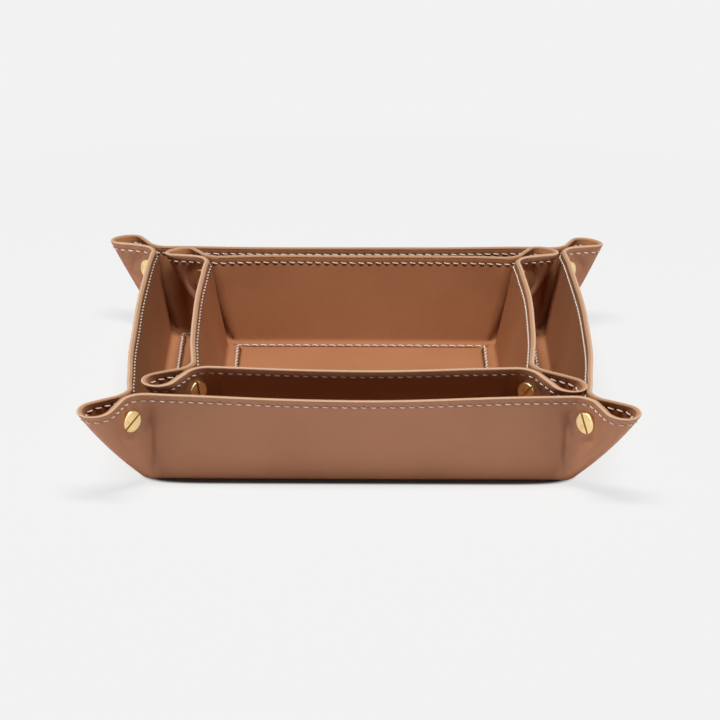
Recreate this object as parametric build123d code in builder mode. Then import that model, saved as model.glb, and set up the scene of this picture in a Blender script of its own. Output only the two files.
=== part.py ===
"""A nested pair of square leather valet trays with pinched corners held by brass screw posts.

Millimetres, +Z up. The origin is the centre of the outer tray's underside. The front walls face -Y.
Each tray is an outer leather and a lining leather sewn together round the rim and round the floor,
with a board between them in the floor and in each wall. The corners are pinched into ears.
"""

import os
from dataclasses import dataclass
from math import asin, atan2, cos, hypot, pi, sin, sqrt

from build123d import *

# Leather, boards and thread
leather = 1.2
base_board_thickness = 1.0
wall_board_thickness = 0.8
thread_width = 0.7
thread_thickness = 0.3
thread_gap = 0.05
glue_line = 0.1
board_gap = 0.1
sole_channel_depth = 0.5

# Brass screw and post
head_diameter = 10.0
head_height = 1.6
head_rounding = 0.5
head_recess_clearance = 0.3
slot_width = 1.1
slot_depth = 0.8
shank_diameter = 4.0
shank_clearance = 0.05
shank_end_gap = 0.5
barrel_diameter = 5.2
barrel_clearance = 0.05
barrel_end_gap = 0.3
seat_clearance = 0.05
seat_bite = 0.1
pinch_gap = 0.3
outer_slot_turns = {"front_left": -55.0, "front_right": 23.0, "back_left": 64.0, "back_right": -72.0}
inner_slot_turns = {"front_left": 12.0, "front_right": -40.0, "back_left": -81.0, "back_right": 35.0}

# Outer tray
outer_base_half = 94.0
outer_rim_half = 102.6
outer_side_bow = 4.8
outer_front_bow = 3.2
outer_rim_mid = 42.0
outer_rim_neck = 43.2
outer_rim_tip = 40.3
outer_ear_reach = 27.0
outer_ear_round = 9.0
outer_seam_margin = 5.0
outer_screw_height = 31.8

# Inner tray
inner_base_half = 66.7
inner_rim_half = 76.9
inner_side_bow = 3.1
inner_front_bow = 3.1
inner_rim_mid = 42.4
inner_rim_neck = 42.8
inner_rim_tip = 40.0
inner_ear_reach = 27.0
inner_ear_round = 8.5
inner_seam_margin = 4.1
inner_screw_height = 31.8
inner_shift_right = 1.6
inner_shift_back = 1.4

# Shape of every corner and wall
foot_round = 4.0
foot_ear_reach = 0.8
foot_neck_spread = 2.6
foot_hollow_radius = 3.5
rim_hollow_radius = 9.0
foot_bow = 0.3
foot_edge_round = 2.2
foot_ledge = 0.1
ear_bulge_share = 0.38
screw_out_from_corner = 1.9
seam_drop = 3.2
wall_board_side_inset = 3.5
wall_board_foot = 4.0
wall_board_drop = 8.0
base_board_inset = 1.7
plateau_border = 0.6
plateau_corner_round = 3.0
plateau_edge_round = 0.6

# Heights of the loft's sections, as shares of the wall's height
section_height_shares = (0, 0.525, 1.05)
foot_steps = 2

leathers = leather + leather
plateau_top = leather + base_board_thickness + leather
seat = leathers + pinch_gap - seat_bite
overrun = 3 * leathers


@dataclass
class Tray:
    """Sizes of one tray, and where it stands."""

    name: str
    base_half: float
    rim_half: float
    side_bow: float
    front_bow: float
    rim_mid: float
    rim_neck: float
    rim_tip: float
    ear_reach: float
    ear_round: float
    seam_margin: float
    screw_height: float
    slot_turns: dict
    place: tuple

    @property
    def seam_half(self):
        """Half width of the floor seam, measured from the crease where the wall starts."""
        return self.base_half - leathers - self.seam_margin

    @property
    def board_half(self):
        """Half width of the board in the floor, inside the floor seam."""
        return self.seam_half - base_board_inset


def wall_line(tray, height):
    """Half width of the tray at the ends of its walls."""
    return tray.base_half + (tray.rim_half - tray.base_half) * height / tray.rim_neck


def neck_half(tray, height):
    """Half width of an ear at its neck: least at the screw, wider at the foot and at the rim."""
    return leathers + pinch_gap + foot_neck_spread * (1 - height / tray.screw_height) ** 2


def ear_tip(tray, height):
    """How far the ear reaches past the crossing of the wall lines, along the diagonal."""
    share = height / tray.rim_neck
    at_foot = foot_ear_reach - foot_round * (sqrt(2) - 1)
    return at_foot + (tray.ear_reach - at_foot) * share * (1 + ear_bulge_share * (1 - share))


def corner_path(tray, height, inset):
    """Arcs (three points) and lines (two points) of the corner at +X +Y, from side wall to back wall.

    Each half is a hollow arc off the wall, a straight flank and half of the rounded tip. Inset moves
    the whole path inward, as from the outer face of the leather to its inner face.
    """
    share = height / tray.rim_neck
    line = wall_line(tray, height)
    hollow = foot_hollow_radius + (rim_hollow_radius - foot_hollow_radius) * share
    tip = foot_round + (tray.ear_round - foot_round) * share**2
    neck = neck_half(tray, height)
    tip_centre = (sqrt(2) * line + ear_tip(tray, height) - tip) / sqrt(2)
    halves = []
    for rim_bow in (tray.side_bow, tray.front_bow):
        bow = foot_bow + (rim_bow - foot_bow) * share
        wall_end = line
        for _ in range(4):
            lean = 2 * atan2(bow, wall_end)
            wall_end = line + hollow * (cos(lean) - sin(lean)) - sqrt(2) * (neck + hollow)
        hollow_centre = (line + hollow * cos(lean), wall_end + hollow * sin(lean))
        across = (tip_centre - hollow_centre[0], tip_centre - hollow_centre[1])
        span = hypot(*across)
        heading = atan2(across[1], across[0]) - asin((hollow + tip) / span)
        halves.append(half_corner(hollow_centre, hollow + inset, lean, heading, tip_centre, tip - inset))
    side, back = halves
    turned = [tuple((y, x) for x, y in reversed(points)) for points in reversed(back)]
    return side + turned


def half_corner(hollow_centre, hollow, lean, heading, tip_centre, tip):
    """Hollow arc, flank and half tip, from the end of the side wall to the ear's outermost point."""

    def on_hollow(angle):
        return hollow_centre[0] - hollow * cos(angle), hollow_centre[1] - hollow * sin(angle)

    def on_tip(angle):
        return tip_centre + tip * cos(angle), tip_centre + tip * sin(angle)

    flank = heading - pi / 2
    return [
        (on_hollow(lean), on_hollow((lean + flank) / 2), on_hollow(flank)),
        (on_hollow(flank), on_tip(flank)),
        (on_tip(flank), on_tip((flank + pi / 4) / 2), on_tip(pi / 4)),
    ]


def draw(points, x_sign, y_sign):
    """Add an arc or a line through the points, mirrored by the signs."""
    placed = [(x * x_sign, y * y_sign) for x, y in points]
    if len(placed) == 3:
        ThreePointArc(*placed)
    else:
        Line(*placed)


def outline(tray, height, inset):
    """Draw the tray's closed outline at a height: four corners joined by four bowed walls."""
    share = height / tray.rim_neck
    quarter = corner_path(tray, height, inset)
    backward = [tuple(reversed(points)) for points in reversed(quarter)]
    side_end, back_end = quarter[0][0], quarter[-1][-1]
    line = wall_line(tray, height) - inset
    side_mid = line + foot_bow + (tray.side_bow - foot_bow) * share
    back_mid = line + foot_bow + (tray.front_bow - foot_bow) * share
    side_wall = ((side_end[0], -side_end[1]), (side_mid, 0), side_end)
    back_wall = (back_end, (0, back_mid), (-back_end[0], back_end[1]))
    draw(side_wall, 1, 1)
    for points in quarter:
        draw(points, 1, 1)
    draw(back_wall, 1, 1)
    for points in backward:
        draw(points, -1, 1)
    draw(side_wall, -1, -1)
    for points in quarter:
        draw(points, -1, -1)
    draw(back_wall, -1, -1)
    for points in backward:
        draw(points, 1, -1)


def tray_block(tray, inset):
    """Solid as large as the tray's face at that inset, from the underside to above the rim."""
    with BuildPart() as block:
        for share in section_height_shares:
            height = share * tray.rim_neck
            with BuildSketch(Plane.XY.offset(height)):
                with BuildLine():
                    outline(tray, height, inset)
                make_face()
        loft()
    return block.part


def foot(tray):
    """Rounded lowest part of the outer leather, set back by a fine ledge from the wall on it."""
    with BuildPart() as rounded:
        for step in range(foot_steps + 1):
            angle = pi / 2 * step / foot_steps
            height = foot_edge_round * (1 - cos(angle))
            with BuildSketch(Plane.XY.offset(height)):
                with BuildLine():
                    outline(tray, height, foot_edge_round * (1 - sin(angle)) + foot_ledge)
                make_face()
        loft()
    return rounded.part


def above(solid, height):
    """The part of a solid that lies above a height."""
    with BuildPart() as upper:
        add(solid)
        split(bisect_by=Plane.XY.offset(height), keep=Keep.TOP)
    return upper.part


def rim_curve(tray, drop):
    """Three points of the rim's height over the distance from the centre: mid wall, neck and ear tip."""
    wall = tray.rim_half + min(tray.side_bow, tray.front_bow) - leathers
    corner = sqrt(2) * tray.rim_half
    return (
        (wall, tray.rim_mid - drop),
        (corner + pinch_gap, tray.rim_neck - drop),
        (corner + tray.ear_reach, tray.rim_tip - drop),
    )


def rim_band(tray, upper_drop, lower_drop):
    """Solid of revolution between two copies of the rim's curve, each lowered by its drop."""
    upper, lower = rim_curve(tray, upper_drop), rim_curve(tray, lower_drop)
    reach = upper[-1][0] + overrun
    with BuildPart() as band:
        with BuildSketch(Plane.XZ):
            with BuildLine():
                Line((0, lower[0][1]), lower[0])
                Polyline(*lower)
                Polyline(lower[-1], (reach, lower[-1][1]), (reach, upper[-1][1]), upper[-1])
                Polyline(*reversed(upper))
                Polyline(upper[0], (0, upper[0][1]), (0, lower[0][1]))
            make_face()
        revolve(axis=Axis.Z)
    return band.part


def rim_thread(tray, block, outermost, innermost):
    """One thread of the rim's seam, a band on the leather between two insets, below the rim."""
    with BuildPart() as thread:
        add(rim_band(tray, seam_drop - thread_width / 2, seam_drop + thread_width / 2))
        add(block(outermost), mode=Mode.INTERSECT)
        add(block(innermost), mode=Mode.SUBTRACT)
    return thread.part


def square_ring(half, width, low, high):
    """Square ring with its middle line at half, between two heights."""
    with BuildPart() as ring:
        with BuildSketch(Plane.XY.offset(low)):
            Rectangle(2 * half + width, 2 * half + width)
            Rectangle(2 * half - width, 2 * half - width, mode=Mode.SUBTRACT)
        extrude(amount=high - low)
    return ring.part


def base_board(tray):
    """Stiff square board in the floor, between the two leathers."""
    with BuildPart() as board:
        with BuildSketch(Plane.XY.offset(leather)):
            RectangleRounded(2 * tray.board_half, 2 * tray.board_half, plateau_corner_round)
        extrude(amount=base_board_thickness)
    return board.part


def wall_board(tray, block, x_sign, y_sign, gap):
    """Thin board between the leathers of one wall, following the wall's bow, grown by a gap."""
    height = tray.rim_mid - wall_board_drop - wall_board_foot
    depth = tray.rim_half - tray.base_half + tray.side_bow + 2 * leathers
    middle = tray.base_half + depth / 2 - leathers
    length = 2 * (tray.base_half - wall_board_side_inset + gap)
    size = (depth, length) if x_sign else (length, depth)
    with BuildPart() as board:
        with Locations((x_sign * middle, y_sign * middle, wall_board_foot + height / 2)):
            Box(*size, height + 2 * gap)
        add(block(leather + glue_line / 2 - wall_board_thickness / 2 - gap), mode=Mode.INTERSECT)
        add(block(leather + glue_line / 2 + wall_board_thickness / 2 + gap), mode=Mode.SUBTRACT)
    return board.part


def ear_plane(tray, x_sign, y_sign):
    """Plane through the middle of an ear at its screw, facing out on the front or back wall's side."""
    offset = wall_line(tray, tray.screw_height) + screw_out_from_corner / sqrt(2)
    return Plane(
        origin=(x_sign * offset, y_sign * offset, tray.screw_height),
        x_dir=(0, 0, 1),
        z_dir=(-x_sign, y_sign, 0),
    )


def screw_holes(tray):
    """What the screws and posts take from the leathers: a hole through each ear and two flat seats."""
    with BuildPart() as holes:
        for x_sign in (1, -1):
            for y_sign in (1, -1):
                plane = ear_plane(tray, x_sign, y_sign)
                with BuildSketch(plane):
                    Circle(barrel_diameter / 2 + barrel_clearance)
                extrude(amount=seat + head_height, both=True)
                for side in (1, -1):
                    with BuildSketch(plane.offset(side * seat)):
                        Circle(head_diameter / 2 + head_recess_clearance)
                    extrude(amount=side * head_diameter)
    return holes.part


def screw(plane, slot_turn):
    """Slotted screw: a low round head and a plain shank that turns in the post."""
    under_head = seat + seat_clearance
    with BuildPart() as piece:
        with BuildSketch(plane.offset(under_head)):
            Circle(head_diameter / 2)
        extrude(amount=head_height)
        rim = piece.edges().sort_by(lambda edge: plane.to_local_coords(edge.center()).Z)[-1]
        fillet(rim, head_rounding)
        with BuildSketch(plane.offset(under_head + head_height - slot_depth)):
            Rectangle(head_diameter + overrun, slot_width, rotation=slot_turn)
        extrude(amount=head_height, mode=Mode.SUBTRACT)
        with BuildSketch(plane.offset(under_head)):
            Circle(shank_diameter / 2)
        extrude(amount=shank_end_gap - 2 * under_head)
    return piece.part


def post(plane):
    """Screw post: a plain head and a barrel whose bore takes the screw's shank."""
    under_head = seat + seat_clearance
    with BuildPart() as piece:
        with BuildSketch(plane.offset(-under_head)):
            Circle(head_diameter / 2)
        extrude(amount=-head_height)
        rim = piece.edges().sort_by(lambda edge: plane.to_local_coords(edge.center()).Z)[0]
        fillet(rim, head_rounding)
        with BuildSketch(plane.offset(-under_head)):
            Circle(barrel_diameter / 2)
        extrude(amount=2 * under_head - barrel_end_gap)
        with BuildSketch(plane.offset(-under_head)):
            Circle(shank_diameter / 2 + shank_clearance)
        extrude(amount=2 * under_head, mode=Mode.SUBTRACT)
    return piece.part


def leather_shell(tray, block, cuts):
    """Outer leather: floor, four walls and four ears from one piece of hide."""
    channel = square_ring(tray.seam_half, thread_width + 2 * thread_gap, 0, sole_channel_depth)
    with BuildPart() as shell:
        add(above(block(0), foot_edge_round))
        add(foot(tray))
        add([above(block(leather), leather), channel, *cuts], mode=Mode.SUBTRACT)
    return shell.part


def leather_lining(tray, block, cuts):
    """Lining leather: it lies in the shell and is raised over the floor board."""
    with BuildPart() as plateau:
        with BuildSketch(Plane.XY.offset(leathers)):
            size = 2 * (tray.board_half + plateau_border)
            RectangleRounded(size, size, plateau_corner_round)
        extrude(amount=plateau_top - leathers)
        fillet(plateau.edges().group_by(Axis.Z)[-1], plateau_edge_round)
    with BuildPart() as lining:
        add(above(block(leather + glue_line), leather))
        add(above(block(leathers), leathers), mode=Mode.SUBTRACT)
        add(plateau.part)
        add([base_board(tray), *cuts], mode=Mode.SUBTRACT)
    return lining.part


def tray_pieces(tray):
    """Every piece of one tray, by name, in the tray's own place."""
    made = {}

    def block(inset):
        if inset not in made:
            made[inset] = tray_block(tray, inset)
        return made[inset]

    cuts = [rim_band(tray, -overrun, 0), screw_holes(tray)]
    pieces = {}
    for side, signs in {"front": (0, -1), "back": (0, 1), "left": (-1, 0), "right": (1, 0)}.items():
        pieces[f"{side}_wall_board"] = wall_board(tray, block, *signs, 0)
        cuts.append(wall_board(tray, block, *signs, board_gap))
    pieces["leather_shell"] = leather_shell(tray, block, cuts)
    pieces["leather_lining"] = leather_lining(tray, block, cuts)
    pieces["base_board"] = base_board(tray)
    face = thread_gap + thread_thickness
    lining = leathers + thread_gap
    pieces["rim_face_thread"] = rim_thread(tray, block, -face, -thread_gap)
    pieces["rim_lining_thread"] = rim_thread(tray, block, lining, lining + thread_thickness)
    sole = sole_channel_depth - thread_thickness
    pieces["base_face_thread"] = square_ring(tray.seam_half, thread_width, sole, sole_channel_depth)
    pieces["base_lining_thread"] = square_ring(
        tray.seam_half, thread_width, leathers, leathers + thread_thickness
    )
    for depth, y_sign in (("front", -1), ("back", 1)):
        for side, x_sign in (("left", -1), ("right", 1)):
            corner = f"{depth}_{side}"
            plane = ear_plane(tray, x_sign, y_sign)
            pieces[f"{corner}_screw"] = screw(plane, tray.slot_turns[corner])
            pieces[f"{corner}_post"] = post(plane)
    return pieces


outer = Tray(
    name="outer",
    base_half=outer_base_half,
    rim_half=outer_rim_half,
    side_bow=outer_side_bow,
    front_bow=outer_front_bow,
    rim_mid=outer_rim_mid,
    rim_neck=outer_rim_neck,
    rim_tip=outer_rim_tip,
    ear_reach=outer_ear_reach,
    ear_round=outer_ear_round,
    seam_margin=outer_seam_margin,
    screw_height=outer_screw_height,
    slot_turns=outer_slot_turns,
    place=(0, 0, 0),
)
inner = Tray(
    name="inner",
    base_half=inner_base_half,
    rim_half=inner_rim_half,
    side_bow=inner_side_bow,
    front_bow=inner_front_bow,
    rim_mid=inner_rim_mid,
    rim_neck=inner_rim_neck,
    rim_tip=inner_rim_tip,
    ear_reach=inner_ear_reach,
    ear_round=inner_ear_round,
    seam_margin=inner_seam_margin,
    screw_height=inner_screw_height,
    slot_turns=inner_slot_turns,
    place=(inner_shift_right, inner_shift_back, plateau_top),
)

os.makedirs("parts", exist_ok=True)
for tray in (outer, inner):
    for piece_name, piece in tray_pieces(tray).items():
        with BuildPart() as placed:
            with Locations(tray.place):
                add(piece)
        placed.part.label = f"{tray.name}_{piece_name}"
        export_step(placed.part, f"parts/{placed.part.label}.step")
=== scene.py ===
"""Dresses a nested pair of leather valet trays: hide, stitches, brass, floor, light and camera.

The sizes below are millimetres, as a leather worker would note them, and every mesh is in metres.
"""

import logging
import math
from collections.abc import Mapping
from dataclasses import dataclass, field
from enum import Enum

import bpy
import numpy as np
from mathutils import Matrix, Vector

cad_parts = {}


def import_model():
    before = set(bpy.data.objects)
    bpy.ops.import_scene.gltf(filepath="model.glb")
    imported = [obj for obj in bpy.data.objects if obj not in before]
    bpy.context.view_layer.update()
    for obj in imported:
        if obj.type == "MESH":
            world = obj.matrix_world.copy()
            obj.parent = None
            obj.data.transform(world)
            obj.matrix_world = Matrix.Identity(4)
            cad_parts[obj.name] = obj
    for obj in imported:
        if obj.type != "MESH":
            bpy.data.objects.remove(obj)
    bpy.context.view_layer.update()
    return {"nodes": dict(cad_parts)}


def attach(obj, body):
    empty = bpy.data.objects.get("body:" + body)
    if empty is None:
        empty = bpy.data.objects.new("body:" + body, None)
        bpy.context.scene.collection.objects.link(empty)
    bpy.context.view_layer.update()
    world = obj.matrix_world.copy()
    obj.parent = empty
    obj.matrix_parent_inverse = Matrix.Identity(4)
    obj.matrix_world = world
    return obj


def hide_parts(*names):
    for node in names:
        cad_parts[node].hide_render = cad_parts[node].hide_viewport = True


LOG = logging.getLogger("valet_trays")
MM = 0.001
SQUARE = math.sqrt(2)

LEATHER = 1.2
LEATHERS = LEATHER + LEATHER
BOARD = 1.0
PLATEAU_TOP = LEATHERS + BOARD
PINCH_GAP = 0.3
GLUE_LINE = 0.1
STITCH_PITCH = 4.2

SHELL_ROWS, LINING_ROWS, SEAM_ROWS, EDGE_ROWS, TURN_ROWS, PANEL_ROWS = 33, 31, 16, 5, 6, 12
SOLE_RINGS = np.linspace(0.08, 1, 9)[:-1]
HIDDEN_RINGS = np.array([0.1, 0.6])
BACK_ROWS = np.array([0.1, 0.5, 0.9])
DIP_ROWS = np.array([0.9, 0.5, 0.25, 0, -0.25, -0.5, -0.9])
TUBE_SIDES = 6
TUBE_TURN = np.linspace(0, 2 * math.pi, TUBE_SIDES, endpoint=False)[:, None]

SLOT_REACH = 1.0
SLOT_FLOOR = (0.3, 1.2)
ALONG_AXIS, ACROSS_AXIS = 0.9, 0.3

Array = np.ndarray
Colour = tuple[float, float, float, float]
Socket = bpy.types.NodeSocket
Inputs = Mapping[str | int, object]


class Face(Enum):
    """The two faces of the sewn leathers."""

    OUTSIDE = "face"
    LINING = "lining"


@dataclass(frozen=True)
class Pull:
    """A spot at the rim where a hand has drawn the leather out of its even shape.

    Attributes:
        at: The spot, seen from above.
        reach: Distance at which the pull has mostly faded.
        by: How far the rim is drawn right, back and up.
    """

    at: tuple[float, float]
    reach: float
    by: tuple[float, float, float]


@dataclass(frozen=True)
class Corner:
    """Half of a pinched corner at some heights: a hollow arc, a straight flank and half of the tip.

    Attributes:
        lean: Angle at which the hollow arc leaves the wall.
        wall_end: How far from the middle the wall ends.
        hollow: Radius of the hollow arc.
        hollow_at: The x and y of the hollow arc's centre.
        tip: Radius of the tip.
        tip_at: The tip's centre, the same in x and y.
        flank: Angle at which both arcs meet the flank, which touches them.
    """

    lean: Array
    wall_end: Array
    hollow: Array
    hollow_at: tuple[Array, Array]
    tip: Array
    tip_at: Array
    flank: Array


@dataclass(frozen=True)
class Wave:
    """One of the slow waves by which the walls wander in and out.

    Attributes:
        along: Distance along a wall in which the wave turns by one radian.
        up: The same distance up the wall, negative where the wave leans the other way.
        phase: The wave's angle in the middle of the wall's foot.
        depth: How far it pushes the wall.
    """

    along: float
    up: float
    phase: float
    depth: float


@dataclass(frozen=True)
class TrayShape:
    """The folded shape of one tray: bowed walls that rise from a square floor into pinched ears.

    Attributes:
        name: The tray's name, which its pieces' names start with.
        base_half: Half width at the floor.
        rim_half: Half width at the rim, at the ends of the walls.
        side_bow: How far a side wall's rim bows out.
        front_bow: How far a front or back wall's rim bows out.
        rim_mid: Height of the rim in the middle of a wall.
        rim_neck: Height of the rim where the corner is pinched.
        rim_tip: Height of the rim at the tip of an ear.
        ear_round: Radius of the ear's tip at the rim.
        seam_margin: Distance of the floor's seam from the foot of the wall.
        place: Where the tray's own origin stands.
        pulls: The spots that a hand has drawn out of the even shape.
        ear_reach, foot_ear_reach: How far an ear reaches past the crossing of the walls, rim and foot.
        screw_height, screw_out: The screws' height, and how far out of that crossing they are.
        foot_round, foot_hollow, foot_bow: Radius of tip and hollow arc, and the walls' bow, at the foot.
        foot_edge: Radius of the shell's rounded edge at the floor.
        foot_neck_spread: How much wider the pinched neck is at the foot.
        rim_hollow: Radius of the hollow arc at the rim.
        ear_bulge: How much further the ear reaches halfway up, as a share.
        seam_drop: How far the rim's seam lies below the rim.
        board_inset, wall_board_inset: How far the boards end short of the floor's seam and wall's end.
        crease_inset, crease_depth, crease_width: The upright crease's distance from the wall's end,
            depth and half width.
        crease_foot, crease_rim: How far from the foot and the rim a crease starts, and over how much
            it grows.
        waves: The waves of the walls.
        wave_end: How far inside the floor's edge the waves start to fade, and over how much.
        wave_foot: Height at which the waves are full.
        pull_power: Power of the height by which a pull grows.
        head_seat: Half thickness of an ear under the screw's heads.
        head_radius, head_fade: Where the pressed round under a head starts to fade, and over how much.
        head_fade_in: Share of the pressing that is lost through the leathers.
        head_reach: How far from the ear's middle the pressing reaches.
    """

    name: str
    base_half: float
    rim_half: float
    side_bow: float
    front_bow: float
    rim_mid: float
    rim_neck: float
    rim_tip: float
    ear_round: float
    seam_margin: float
    place: tuple[float, float, float]
    pulls: tuple[Pull, ...] = ()
    ear_reach: float = 27.0
    foot_ear_reach: float = 0.8
    screw_height: float = 31.8
    screw_out: float = 1.9
    foot_round: float = 4.0
    foot_hollow: float = 3.5
    foot_bow: float = 0.3
    foot_edge: float = 2.2
    foot_neck_spread: float = 2.6
    rim_hollow: float = 9.0
    ear_bulge: float = 0.38
    seam_drop: float = 3.2
    board_inset: float = 1.7
    wall_board_inset: float = 3.5
    crease_inset: float = 3.1
    crease_depth: float = 0.45
    crease_width: float = 1.0
    crease_foot: tuple[float, float] = (2.0, 7.0)
    crease_rim: tuple[float, float] = (3.0, 9.0)
    waves: tuple[Wave, ...] = (Wave(23, 31, 0.7, 0.2), Wave(11, -17, 2.1, 0.12))
    wave_end: tuple[float, float] = (22.0, 14.0)
    wave_foot: float = 30.0
    pull_power: float = 1.5
    head_seat: float = LEATHERS + PINCH_GAP - 0.1
    head_radius: float = 5.2
    head_fade: float = 6.0
    head_fade_in: float = 0.8
    head_reach: float = 9.0

    @property
    def seam_half(self) -> float:
        """Half width of the floor's seam."""
        return self.base_half - LEATHERS - self.seam_margin

    def line(self, z: Array) -> Array:
        """Half width at the ends of the walls: foot half width plus the wall's even lean."""
        return self.base_half + (self.rim_half - self.base_half) * z / self.rim_neck

    def bow(self, z: Array, rim_bow: float) -> Array:
        """Bow of a wall, growing evenly from the foot to the rim."""
        return self.foot_bow + (rim_bow - self.foot_bow) * z / self.rim_neck

    def corner(self, z: Array, rim_bow: float) -> Corner:
        """Works out half of a corner. The wall's end and lean follow each other, found by four repeats.

        The pinched neck is two leathers wide, plus a parabola about the screw's height. The ear's reach
        grows evenly with the height, swollen in the middle by a parabola.

        Args:
            z: Heights.
            rim_bow: Bow of the wall at the rim.

        Returns:
            The corner at each height.
        """
        share, line = z / self.rim_neck, self.line(z)
        hollow = self.foot_hollow + (self.rim_hollow - self.foot_hollow) * share
        tip = self.foot_round + (self.ear_round - self.foot_round) * share**2
        foot_reach = self.foot_ear_reach - self.foot_round * (SQUARE - 1)
        reach = foot_reach + (self.ear_reach - foot_reach) * share * (1 + self.ear_bulge * (1 - share))
        end = line
        for _ in range(4):
            lean = 2 * np.arctan2(self.bow(z, rim_bow), end)
            end = line + hollow * (np.cos(lean) - np.sin(lean)) - SQUARE * (self.neck(z) + hollow)
        x, y = line + hollow * np.cos(lean), end + hollow * np.sin(lean)
        tip_at = (SQUARE * line + reach - tip) / SQUARE
        heading = np.arctan2(tip_at - y, tip_at - x)
        flank = heading - np.arcsin((hollow + tip) / np.hypot(tip_at - x, tip_at - y)) - math.pi / 2
        return Corner(lean, end, hollow, (x, y), tip, tip_at, flank)

    def neck(self, z: Array) -> Array:
        """Half width of the pinched neck."""
        return LEATHERS + PINCH_GAP + self.foot_neck_spread * (1 - z / self.screw_height) ** 2

    def rim_height(self, distance: Array) -> Array:
        """Height of the rim: the parabola over the distance from the centre through three known heights.

        These are the heights in the middle of a wall, at the neck and at the tip of an ear.

        Args:
            distance: Distance from the tray's upright axis.

        Returns:
            The rim's height at each distance.
        """
        wall = self.rim_half + min(self.side_bow, self.front_bow) - LEATHERS
        neck, tip = SQUARE * self.rim_half + PINCH_GAP, SQUARE * self.rim_half + self.ear_reach
        r = np.maximum(distance, wall)
        at_wall = self.rim_mid * (r - neck) * (r - tip) / ((wall - neck) * (wall - tip))
        at_neck = self.rim_neck * (r - wall) * (r - tip) / ((neck - wall) * (neck - tip))
        at_tip = self.rim_tip * (r - wall) * (r - neck) / ((tip - wall) * (tip - neck))
        return at_wall + at_neck + at_tip

    def half_side(self, z: Array, inset: Array, s: Array, rim_bow: float) -> tuple[Array, Array]:
        """Half of the right side of the outline, from the middle of the wall to the tip of the ear.

        The half wall (s from -1 to 0) is a parabola that bows out most in the middle. It is followed
        by the hollow arc (to 1), the flank (to 2) and half of the tip (to 3).

        Args:
            z: Heights.
            inset: Distances inward from the outer face.
            s: Parameter along the half side.
            rim_bow: Bow of the wall at the rim.

        Returns:
            The x and y of each point.
        """
        corner = self.corner(z, rim_bow)
        on_arc = corner.lean + (corner.flank - corner.lean) * np.clip(s, 0, 1)
        on_tip = corner.flank + (math.pi / 4 - corner.flank) * np.clip(s - 2, 0, 1)
        arc, tip = corner.hollow + inset, corner.tip - inset
        arc_x, arc_y = corner.hollow_at[0] - arc * np.cos(on_arc), corner.hollow_at[1] - arc * np.sin(on_arc)
        tip_x, tip_y = corner.tip_at + tip * np.cos(on_tip), corner.tip_at + tip * np.sin(on_tip)
        along = np.clip(s - 1, 0, 1)
        x, y = arc_x + (tip_x - arc_x) * along, arc_y + (tip_y - arc_y) * along
        w = np.minimum(s, 0) + 1
        middle = self.line(z) + self.bow(z, rim_bow) - inset
        return np.where(s < 0, x + (middle - x) * (1 - w**2), x), np.where(s < 0, y * w, y)

    def shaped(self, points: Array) -> Array:
        """Moves points of the even tray to where a hand has left them.

        Slow crossed sines push the walls in and out, away from their foot and ends. The creases are
        pressed in and the ears are pressed flat under the screws. Each pull moves what is near it by a
        bell curve over the distance, growing with the height.

        Args:
            points: Points of form (count, 3), in the tray's own place.

        Returns:
            The moved points.
        """
        x, y, z = points.T
        side = np.abs(x) > np.abs(y)
        out = np.stack([np.where(side, np.sign(x), 0), np.where(side, 0, np.sign(y)), np.zeros_like(z)], -1)
        along = np.where(side, y, x)
        push = sum(wave.depth * np.sin(along / wave.along + z / wave.up + wave.phase) for wave in self.waves)
        start, reach = self.wave_end
        calm = 1 - smooth_step((np.abs(along) - self.base_half + start) / reach)
        push = push * smooth_step(z / self.wave_foot) * calm - self.crease_depth * self.crease(points)
        moved = self.pressed(points + out * push[:, None])
        height = (np.maximum(z, 0) / self.rim_mid) ** self.pull_power
        for pull in self.pulls:
            far = np.hypot(x - pull.at[0], y - pull.at[1]) / pull.reach
            moved += (np.exp(-(far**2)) * height)[:, None] * np.array(pull.by)
        return moved

    def crease(self, points: Array) -> Array:
        """How much the upright crease near each end of a wall shows: a bell curve across it.

        It is full on the wall's outer face and fades evenly through the leathers.

        Args:
            points: Points of form (count, 3), in the tray's own place.

        Returns:
            A share for each point.
        """
        x, y, z = np.abs(points).T
        off = (np.minimum(x, y) - self.base_half + self.crease_inset) / self.crease_width
        skin = np.clip(1 - (self.line(z) - np.maximum(x, y)) / LEATHERS, 0, 1)
        for height, (start, growth) in ((z, self.crease_foot), (self.rim_mid - z, self.crease_rim)):
            skin = skin * smooth_step((height - start) / growth)
        return skin * np.exp(-(off**2))

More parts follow.
